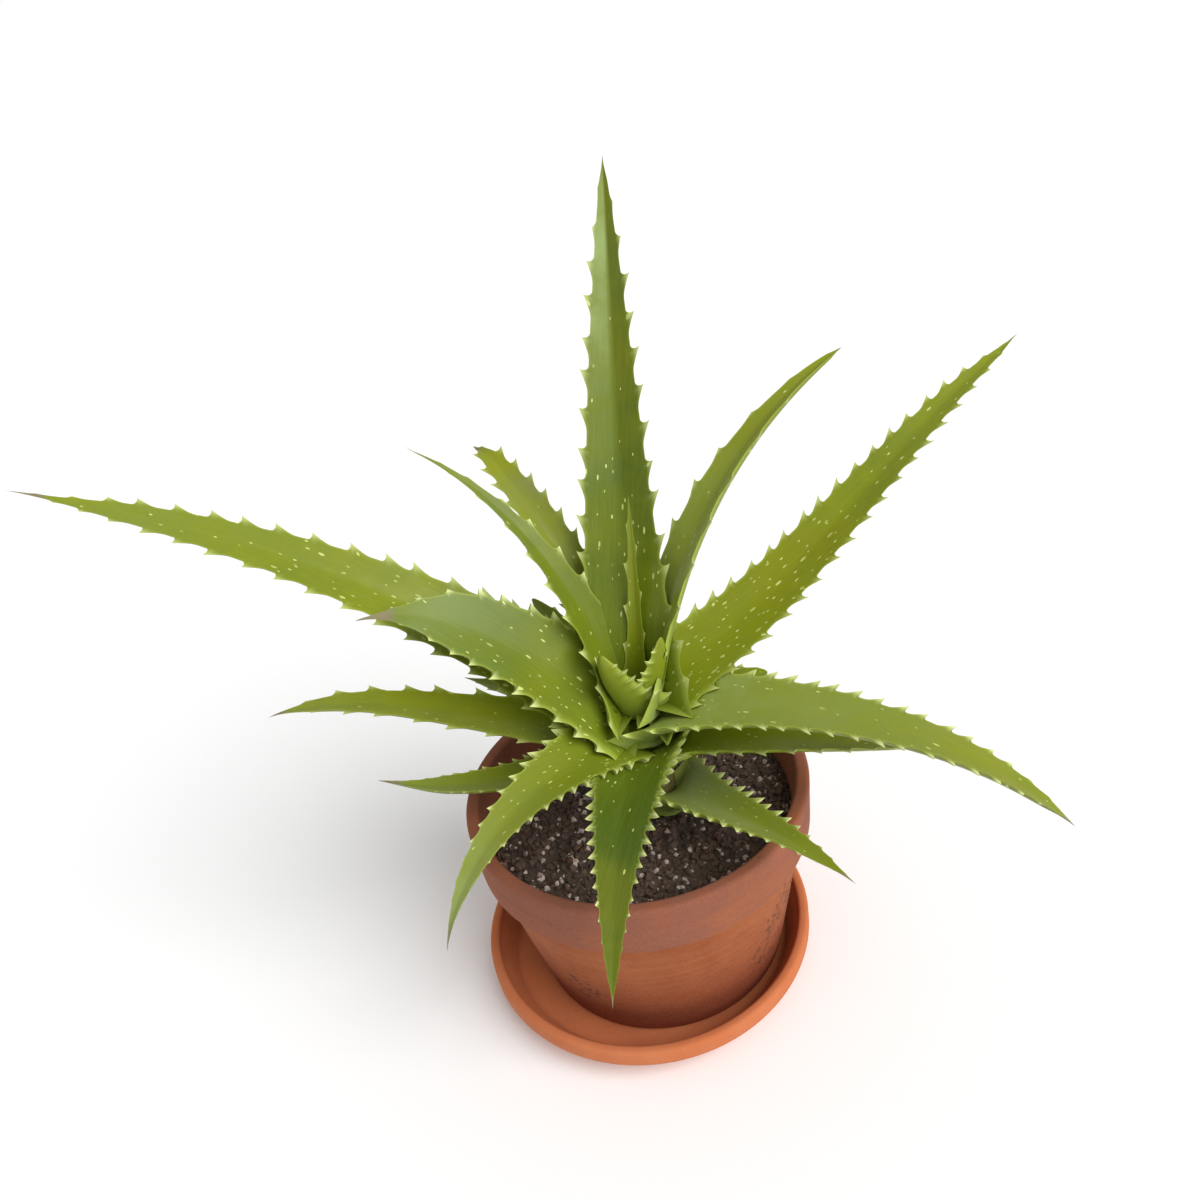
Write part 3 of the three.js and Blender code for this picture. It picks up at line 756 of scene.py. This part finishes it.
class AloeSoilSettings(bpy.types.PropertyGroup):
    peat_dark: tint("Dark Peat", "Darkest soil", 44, 34, 29)
    peat_light: tint("Light Peat", "Lighter soil", 110, 88, 74)
    grit: tint("Grit", "Fine mineral grains", 176, 158, 148)
    perlite: tint("Perlite", "White expanded grains", 216, 196, 190)
    bark: tint("Bark", "Chips of bark", 120, 88, 66)
    seed: IntProperty(name="Seed", description="Where the grains fall", default=7, min=0)
    stem_green: tint("Stem Green", "Skin of the stem", 118, 124, 62)
    stem_brown: tint("Stem Brown", "Older skin of the stem", 116, 96, 62)
    scar: tint("Scar", "Scars of fallen leaves", 98, 76, 56)


class AloeStageSettings(bpy.types.PropertyGroup):
    lens: number("Lens", "The camera's focal length in millimetres", 30.0, min=1.0)
    distance: number("Distance", "From the camera to the pot's foot", 0.4475, min=0.1, unit="LENGTH")
    elevation: number("Elevation", "How far the camera looks down on the foot", math.radians(49.9),
                      unit="ROTATION")
    tilt: number("Tilt", "How far the camera then turns up", math.radians(18.7), unit="ROTATION")
    roll: number("Roll", "How far the camera leans", math.radians(10.9), unit="ROTATION")
    key: number("Key Light", "Strength of the light from the right", 2.7, min=0.0)
    softness: number("Softness", "How wide the light from the right is", math.radians(48),
                     unit="ROTATION")
    sky: number("Surround", "Brightness of the pale surround", 0.52, min=0.0)


# ---- leaves and stem


def blade(leaf):
    """A leaf as a fine closed skin, with its attributes and its own UV map."""
    u = np.concatenate([UPPER, LOWER])
    points, out = leaf.skin(UPPER, LOWER)
    piece = new_object(leaf.name.replace("leaf", "blade"), points, tube_faces(leaf.s.size, u.size))
    s = leaf.s[:, None]
    one = np.ones_like(out)
    horn = leaf.horn * smoothstep(0.2, 0.8, out / leaf.tooth(s)) * smoothstep(0.2, 0.8, out)
    clasp = np.exp(-leaf.distance / 30)[:, None] * one
    rim = smoothstep(0.93 - 0.14 * clasp, 1.0, np.abs(u) * one)
    dry = np.maximum(smoothstep(0.5, 1, leaf.wilt), leaf.blush)[:, None] * one
    under = np.where(np.arange(u.size) < UPPER.size, 0.0, 1.0) * one
    set_colors(piece.data, "marks", [horn, rim, dry, under],
               [[0, 0, 0, 1], [0, 0, float(leaf.dry > 0), 0]])
    # Deeper green towards the base and lighter towards the tip: painted shade round the heart.
    shade = (leaf.shade - 0.15 * s) * one
    # A bloom of wax towards the tip, or towards the base where negative, with painted sheen; lean lays a
    # painted reflection over one half.
    bloom = (1 - s)**1.5 if leaf.frost < 0 else 0.05 + np.sin(np.pi * s**4)
    frost = abs(leaf.frost) * bloom * (1 + leaf.lean * np.clip(8 * u, -1, 1)) + 0.05 * s
    flecks = leaf.spots * (0.3 + 0.7 * (1 - smoothstep(0.2, 0.75, s))) * one
    set_colors(piece.data, "tone", [clasp, shade, frost, flecks],
               [[1, leaf.shade, 0, 0], [0, leaf.shade, 0, 0]])
    unwrap(piece, leaf, u)
    return piece


def unwrap(piece, leaf, u):
    """A UV map in millimetres: across the leaf round its section, and along it."""
    start = leaf.random.uniform(0, 400, 2)
    turn = np.where(np.arange(u.size) < UPPER.size, 1 - u, 3 + u)
    across = leaf.half[:, None] * turn + start[0]
    length = np.broadcast_to((leaf.distance + start[1])[:, None], across.shape)
    place = np.stack([across, length], -1).reshape(-1, 2)
    place = np.vstack([place, place[:u.size].mean(0), place[-u.size:].mean(0)])
    layer = piece.data.uv_layers.new(name="skin")
    corners = np.empty(len(piece.data.loops), int)
    piece.data.loops.foreach_get("vertex_index", corners)
    layer.data.foreach_set("uv", place[corners].astype(np.float32).ravel())


def color_cuts(piece, leaf):
    """Colours the points that cutting has added, which are blank, as the shaded base of the leaf."""
    for name, value in (("marks", (0, 0, 0, 0.5)), ("tone", (0.8, leaf.shade + 0.15, 0, 0))):
        layer = piece.data.color_attributes[name]
        values = np.empty(4 * len(layer.data), np.float32)
        layer.data.foreach_get("color", values)
        values = values.reshape(-1, 4)
        values[np.all(values > 0.999, 1)] = value
        layer.data.foreach_set("color", values.ravel())


class ALOE_OT_leaves(bpy.types.Operator):
    """Build every leaf, from the heart down, each cut clear of the leaves above it"""
    bl_idname = "aloe.leaves"
    bl_label = "Leaves"

    def execute(self, context):
        settings = context.scene.aloe_leaves
        skin = leaf_material(settings)
        rooms = []
        for row in LEAVES:
            leaf = Leaf(row, settings.tooth_height / MM)
            piece = blade(leaf)
            cut(piece, rooms)
            color_cuts(piece, leaf)
            points, _ = leaf.skin(ROOM_UPPER, ROOM_LOWER, LEAF_ROOM)
            sides = ROOM_UPPER.size + ROOM_LOWER.size
            rooms.append(new_object("room", points, tube_faces(leaf.s.size, sides)))
            dress(piece, skin)
            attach(piece, "root")
            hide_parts(leaf.name)
        for room in rooms:
            bpy.data.meshes.remove(room.data)
        return {"FINISHED"}


STEM_SIDES = 48
STEM_ROW = 0.6  # between the mesh's rows
SCAR_SPACING = 5.2


class ALOE_OT_stem(bpy.types.Operator):
    """Build the short stem with the scars of its fallen leaves"""
    bl_idname = "aloe.stem"
    bl_label = "Stem"

    def execute(self, context):
        heights = np.arange(STEM_LOW.z, STEM_TOP, STEM_ROW)
        points, scars = [], []
        for z in heights:
            radius, share = stem_girth(z)
            radius *= min(1, 0.78 + 0.22 * (z - STEM_LOW.z) / 3)
            for angle in np.arange(STEM_SIDES) * 2 * np.pi / STEM_SIDES:
                rung = (z / SCAR_SPACING + 0.35 * math.sin(angle * 2 + z * 0.11)) % 1
                scar = smoothstep(0.72, 0.95, rung) * (1 - smoothstep(0.95, 1, rung))
                scar *= max(1 - 3 * share, 0)
                grain = noise.noise(Vector((8 * math.cos(angle), 8 * math.sin(angle), z)) * 0.3)
                own = radius - 0.25 + 0.25 * scar + 0.15 * grain
                points.append((STEM_X + own * math.cos(angle), STEM_Y + own * math.sin(angle), z))
                scars.append(scar - 0.4 * min(4 * share, 1))
        points += [(STEM_X, STEM_Y, STEM_LOW.z), (STEM_X, STEM_Y, STEM_HIGH.z)]
        piece = new_object("stem_skin", points, tube_faces(len(heights), STEM_SIDES))
        set_values(piece.data, "scar", scars + [0, 0])
        dress(piece, stem_material(context.scene.aloe_soil))
        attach(piece, "root")
        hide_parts("stem")
        return {"FINISHED"}


# ---- pot and saucer, in millimetres

COLLAR_HEIGHT = 20.5
COLLAR_RADIUS = 64.3
COLLAR_STEP = 2.7
COLLAR_LINE = 9.5  # from the rim down to the faint line round the collar
POT_BASE_RADIUS = 49.7
POT_WALL = 5.0
POT_FLOOR = 6.0
DRAIN_RADIUS = 6.0
EDGE_RADIUS = 1.6
SAUCER_FLOOR = 4.8
SAUCER_FOOT_RADIUS = 53.0
SAUCER_FLOOR_RADIUS = 55.6
LIP_DEPTH = 7.6
LIP_WALL = 4.1
LIP_STEP = 2.2
WOBBLE = 0.12  # how far a hand-turned wall strays from true
HAND = Vector((3, 0, 0))  # which way it strays


def hand_turned(piece):
    """Lets the walls of a turned piece stray inwards a little, as clay does."""
    for vert in piece.data.vertices:
        stray = noise.noise(vert.co / MM * 0.035 + HAND)
        radial = Vector((vert.co.x - POT_X * MM, vert.co.y - POT_Y * MM, 0))
        if radial.length > 0.02:
            vert.co -= radial.normalized() * abs(stray) * WOBBLE * MM


class ALOE_OT_pot(bpy.types.Operator):
    """Build the terracotta pot with its collar and its drain hole"""
    bl_idname = "aloe.pot"
    bl_label = "Pot"

    def execute(self, context):
        settings = context.scene.aloe_pot
        rim = (POT_HIGH.x - POT_LOW.x) / 2
        foot, top = POT_LOW.z, POT_HIGH.z
        collar, crown, line = top - COLLAR_HEIGHT, top - EDGE_RADIUS, top - COLLAR_LINE
        floor, drain = foot + POT_FLOOR, DRAIN_RADIUS + 0.6
        body_top = COLLAR_RADIUS - COLLAR_STEP
        slope = (body_top - POT_BASE_RADIUS) / (collar - foot)
        inner_collar = body_top - POT_WALL
        inner_foot = POT_BASE_RADIUS + slope * POT_FLOOR - POT_WALL

        def face(z):
            """The collar's radius, which widens to the rim."""
            return COLLAR_RADIUS + (rim - COLLAR_RADIUS) / COLLAR_HEIGHT * (z - collar)

        profile = [
            *between((drain, foot), (POT_BASE_RADIUS - 1.6, foot), 8),
            *arc(POT_BASE_RADIUS - 1.6, foot + 1.6, 1.6, -90, -8),
            *between((POT_BASE_RADIUS + 0.4, foot + 3), (body_top - 0.5, collar - 1.2), 24),
            (body_top - 0.5, collar - 1.2), (body_top - 0.2, collar - 0.5), (body_top + 0.4, collar),
            *between((body_top + 0.8, collar), (COLLAR_RADIUS - 1, collar), 2),
            *arc(COLLAR_RADIUS - 1, collar + 1, 1, -90, 0),
            *between((face(collar + 2), collar + 2), (face(line - 0.9), line - 0.9), 4),
            (face(line), line - 0.9), (face(line) - 0.16, line - 0.25), (face(line) - 0.16, line + 0.25),
            (face(line), line + 0.9),
            *between((face(line + 1.6), line + 1.6), (rim, crown - 1), 4),
            *rounded_rim(rim, POT_WALL, crown),
            *between((rim - POT_WALL - 0.2, crown - 1.4), (inner_collar, collar), 8),
            *between((inner_collar, collar), (inner_foot, floor), 16),
            *between((inner_foot, floor), (drain, floor), 6),
            (drain, floor), (DRAIN_RADIUS, floor - 0.6), (DRAIN_RADIUS, foot + 0.6),
        ]
        piece = turned("pot_clay", profile, settings.sides, POT_X, POT_Y)
        hand_turned(piece)
        # The pot darkens towards its foot: partly wet clay, partly painted shade where it stands in the
        # saucer.
        clay = clay_material("Pot Clay", settings, settings.clay_light, settings.clay_dark,
                             darkening_foot=0.006, darkening_top=0.052, darkening=0.75, pitting=0.12, soiled=True)
        dress(piece, clay, crease=45)
        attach(piece, "root")
        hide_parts("pot")
        return {"FINISHED"}


class ALOE_OT_saucer(bpy.types.Operator):
    """Build the saucer with its upright lip"""
    bl_idname = "aloe.saucer"
    bl_label = "Saucer"

    def execute(self, context):
        settings = context.scene.aloe_pot
        lip, height = (SAUCER_HIGH.x - SAUCER_LOW.x) / 2, SAUCER_HIGH.z
        lip_foot, crown = height - LIP_DEPTH, height - EDGE_RADIUS
        foot, floor = SAUCER_FOOT_RADIUS, SAUCER_FLOOR
        profile = [
            *between((6, 0), (foot, 0), 6), (foot, 0), (foot + 1, 0.35), (foot + 1.6, 1),
            *between((foot + 2.2, 1.6), (lip - LIP_STEP - 0.6, lip_foot - 1.2), 6),
            (lip - LIP_STEP, lip_foot - 0.6), (lip - LIP_STEP + 0.8, lip_foot - 0.2),
            (lip - 0.9, lip_foot), (lip - 0.3, lip_foot + 0.6),
            *between((lip, lip_foot + 1.4), (lip, crown - 0.6), 3),
            *rounded_rim(lip, LIP_WALL, crown),
            *between((lip - LIP_WALL - 0.2, crown - 0.8), (SAUCER_FLOOR_RADIUS + 1.4, floor + 2), 6),
            *arc(SAUCER_FLOOR_RADIUS - 1.6, floor + 3, 3, -20, -90),
            *between((SAUCER_FLOOR_RADIUS - 3, floor), (6, floor), 8),
        ]
        piece = turned("saucer_clay", profile, settings.sides, 0, 0, poles=(0, floor))
        # The saucer darkens towards its floor: partly wet clay, partly painted shade round the pot's
        # foot.
        clay = clay_material("Saucer Clay", settings, settings.saucer_light, settings.saucer_dark,
                             darkening_foot=0, darkening_top=0.009, darkening=0.3, pitting=0.05)
        dress(piece, clay, crease=45)
        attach(piece, "root")
        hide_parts("saucer")
        return {"FINISHED"}


# ---- soil

# name, density (per square metre), smallest, largest, stretch, detail
GRANULES = (
    ("crumbs", 200000.0, 1.2, 3.8, 1.1, 1),
    ("perlite", 48000.0, 0.8, 3.0, 1.0, 2),
    ("bark", 12000.0, 1.4, 3.0, 2.4, 1),
)
PERLITE_SHADE = linear(156, 140, 130)
BARK_SHADE = linear(58, 40, 34)


def granule_tree():
    """Geometry Nodes that scatter uneven grains over the top of the soil."""
    graph, given, out = new_tree("Soil Granules", "GeometryNodeTree", {
        "Geometry": "Geometry", "Density": "Float", "Smallest": "Float", "Largest": "Float",
        "Stretch": "Float", "Detail": "Int", "Seed": "Int", "Material": "Material"},
        {"Geometry": "Geometry"})
    seed = given["Seed"]
    top = graph.value("GeometryNodeInputNamedAttribute", {"Name": "top"}, data_type="FLOAT")
    points = graph.value("GeometryNodeDistributePointsOnFaces", {
        "Mesh": given["Geometry"], "Density": graph.times(given["Density"], top), "Seed": seed})
    ball = graph.value("GeometryNodeMeshIcoSphere", {"Radius": 0.5, "Subdivisions": given["Detail"]})
    lump = graph.node("ShaderNodeTexNoise", {"Scale": 2.3, "Detail": 1.0}).outputs["Color"]
    centred = graph.value("ShaderNodeVectorMath", {0: lump, 1: (0.5, 0.5, 0.5)}, operation="SUBTRACT")
    pushed = graph.value("ShaderNodeVectorMath", {0: centred, "Scale": 0.9}, operation="SCALE")
    grain = graph.value("GeometryNodeSetPosition", {"Geometry": ball, "Offset": pushed})
    turn = graph.value("FunctionNodeRandomValue", {
        "Min": (0, 0, 0), "Max": (6.283, 6.283, 6.283), "Seed": seed}, data_type="FLOAT_VECTOR")
    size = graph.node("FunctionNodeRandomValue", {
        2: given["Smallest"], 3: given["Largest"], "Seed": seed}, data_type="FLOAT").outputs[1]
    scale = graph.value("ShaderNodeCombineXYZ", {
        0: graph.times(size, given["Stretch"]), 1: size, 2: graph.times(size, 0.7)})
    placed = graph.value("GeometryNodeInstanceOnPoints", {
        "Points": points, "Instance": grain, "Rotation": turn, "Scale": scale})
    real = graph.value("GeometryNodeRealizeInstances", {"Geometry": placed})
    graph.feed(out[0], graph.value("GeometryNodeSetMaterial", {
        "Geometry": real, "Material": given["Material"]}))
    return graph.tree


def soil_ground():
    """The soil as a closed body, with a rough top that rings the stem."""
    sides, steps = 120, 34
    hole, pit = STEM_RADIUS + 0.3, STEM_LOW.z - 0.3
    wall, level, foot = (SOIL_HIGH.x - SOIL_LOW.x) / 2, SOIL_HIGH.z - 2, SOIL_LOW.z
    points = ring(STEM_X, STEM_Y, hole, pit, sides)
    inner, outer = ring(STEM_X, STEM_Y, hole, 0, sides), ring(POT_X, POT_Y, wall, 0, sides)
    for share in np.arange(steps + 1) / steps:
        sink = 2.2 * smoothstep(0.9, 1, share)
        for start, end in zip(inner, outer):
            spot = Vector(start).lerp(Vector(end), share)
            rough = noise.fractal(spot * 0.085, 0.8, 2.1, 4)
            points.append((spot.x, spot.y, level + 1.3 * rough - sink))
    points += ring(POT_X, POT_Y, wall - 11, foot, sides)
    points += [(STEM_X, STEM_Y, pit), (POT_X, POT_Y, foot)]
    faces = [face[::-1] for face in tube_faces(steps + 3, sides)]
    piece = new_object("soil_ground", points, faces)
    top = np.zeros(len(points))
    top[sides:-sides - 2] = 1
    set_values(piece.data, "top", top)
    return piece


class ALOE_OT_soil(bpy.types.Operator):
    """Build the soil round the stem, with crumbs, bark and perlite scattered on it"""
    bl_idname = "aloe.soil"
    bl_label = "Soil"

    def execute(self, context):
        settings = context.scene.aloe_soil
        ground = soil_ground()
        dress(ground, soil_material(settings))
        tree = granule_tree()
        materials = {
            "crumbs": granule_material("Crumb", settings.peat_light, settings.peat_dark, 420, 0.9),
            "perlite": granule_material("Perlite", settings.perlite, PERLITE_SHADE, 500, 0.8),
            "bark": granule_material("Bark", settings.bark, BARK_SHADE, 300, 0.85),
        }
        for number, (name, density, small, large, stretch, detail) in enumerate(GRANULES):
            values = {"Density": density, "Smallest": small * MM, "Largest": large * MM,
                      "Stretch": stretch, "Detail": detail, "Seed": settings.seed + number,
                      "Material": materials[name]}
            grains = add_object("soil_" + name, ground.data.copy())
            scatter = grains.modifiers.new("Granules", "NODES")
            scatter.node_group = tree
            for socket in tree.interface.items_tree:
                if socket.in_out == "INPUT" and socket.name in values:
                    scatter[socket.identifier] = values[socket.name]
            baked(grains)
            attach(grains, "root")
        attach(ground, "root")
        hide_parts("soil")
        return {"FINISHED"}


# ---- stage

FLOOR_REACH = 40000.0
KEY_PLACE = Vector((0.86, -0.78, 0.95))


class ALOE_OT_stage(bpy.types.Operator):
    """Set the pale floor, the soft lights and the camera"""
    bl_idname = "aloe.stage"
    bl_label = "Stage"

    def execute(self, context):
        settings = context.scene.aloe_stage
        context.scene.view_settings.view_transform = "Standard"
        corners = [(x * FLOOR_REACH, y * FLOOR_REACH, 0) for x, y in ((-1, -1), (1, -1), (1, 1), (-1, 1))]
        floor = new_object("floor", corners, [(0, 1, 2, 3)])
        pale = Surface("Pale Floor", {"Base Color": linear(255, 255, 255), "Roughness": 0.9,
                                      "Specular IOR Level": 0.1})
        floor.data.materials.append(pale.material)
        self.light(settings)
        self.surround(context.scene, settings.sky)
        context.scene.camera = self.camera(settings)
        return {"FINISHED"}

    def light(self, settings):
        """An even light from the right, as soft as a large window."""
        data = bpy.data.lights.new("key_light", "SUN")
        data.energy, data.angle = settings.key, settings.softness
        lamp = add_object("key_light", data)
        lamp.location = KEY_PLACE
        lamp.rotation_euler = KEY_PLACE.to_track_quat("Z", "Y").to_euler()

    def surround(self, scene, strength):
        """A pale surround that lights the plant softly and looks white behind it."""
        scene.world = bpy.data.worlds.new("Surround")
        scene.world.use_nodes = True
        graph = Graph(scene.world.node_tree)
        graph.tree.nodes.clear()
        seen = graph.node("ShaderNodeLightPath").outputs["Is Camera Ray"]
        bright = graph.line(seen, 1.0 - strength, strength)
        back = graph.value("ShaderNodeBackground", {"Strength": bright, "Color": (1, 1, 1, 1)})
        graph.node("ShaderNodeOutputWorld", {"Surface": back})

    def camera(self, settings):
        """A camera that looks down on the pot's foot, then turns up and leans."""
        data = bpy.data.cameras.new("camera")
        data.lens, data.sensor_width, data.clip_start = settings.lens, 36.0, 0.01
        away = Vector((0, -math.cos(settings.elevation), math.sin(settings.elevation)))
        forward, right = -away, Vector((1, 0, 0))
        up = right.cross(forward)
        turn = Quaternion(right, settings.tilt)
        forward, up = turn @ forward, turn @ up
        lean = Quaternion(forward, settings.roll)
        right, up = lean @ right, lean @ up
        basis = Matrix((right, up, -forward)).transposed().to_4x4()
        place = Vector((POT_X * MM, POT_Y * MM, 0)) + away * settings.distance
        camera = add_object("camera", data)
        camera.matrix_world = Matrix.Translation(place) @ basis
        return camera


# ---- panel and registration


class ALOE_PT_panel(bpy.types.Panel):
    """Lists the steps that build the plant"""
    bl_idname = "ALOE_PT_panel"
    bl_label = "Potted Aloe"
    bl_space_type = "VIEW_3D"
    bl_region_type = "UI"
    bl_category = "Aloe"

    def draw(self, context):
        for operator in OPERATORS:
            self.layout.operator(operator.bl_idname)
        for name in SETTINGS:
            group = getattr(context.scene, name)
            box = self.layout.box()
            for key in group.__annotations__:
                box.prop(group, key)


OPERATORS = (ALOE_OT_stage, ALOE_OT_saucer, ALOE_OT_pot, ALOE_OT_soil, ALOE_OT_stem, ALOE_OT_leaves)
SETTINGS = {
    "aloe_leaves": AloeLeafSettings,
    "aloe_pot": AloePotSettings,
    "aloe_soil": AloeSoilSettings,
    "aloe_stage": AloeStageSettings,
}


def register():
    for name, group in SETTINGS.items():
        bpy.utils.register_class(group)
        setattr(bpy.types.Scene, name, PointerProperty(type=group))
    for made in (*OPERATORS, ALOE_PT_panel):
        bpy.utils.register_class(made)


def unregister():
    for made in (ALOE_PT_panel, *reversed(OPERATORS)):
        bpy.utils.unregister_class(made)
    for name, group in reversed(SETTINGS.items()):
        delattr(bpy.types.Scene, name)
        bpy.utils.unregister_class(group)


def main():
    register()
    bpy.ops.aloe.stage()
    bpy.ops.aloe.saucer()
    bpy.ops.aloe.pot()
    bpy.ops.aloe.soil()
    bpy.ops.aloe.stem()
    bpy.ops.aloe.leaves()


if __name__ == "__main__":
    main()
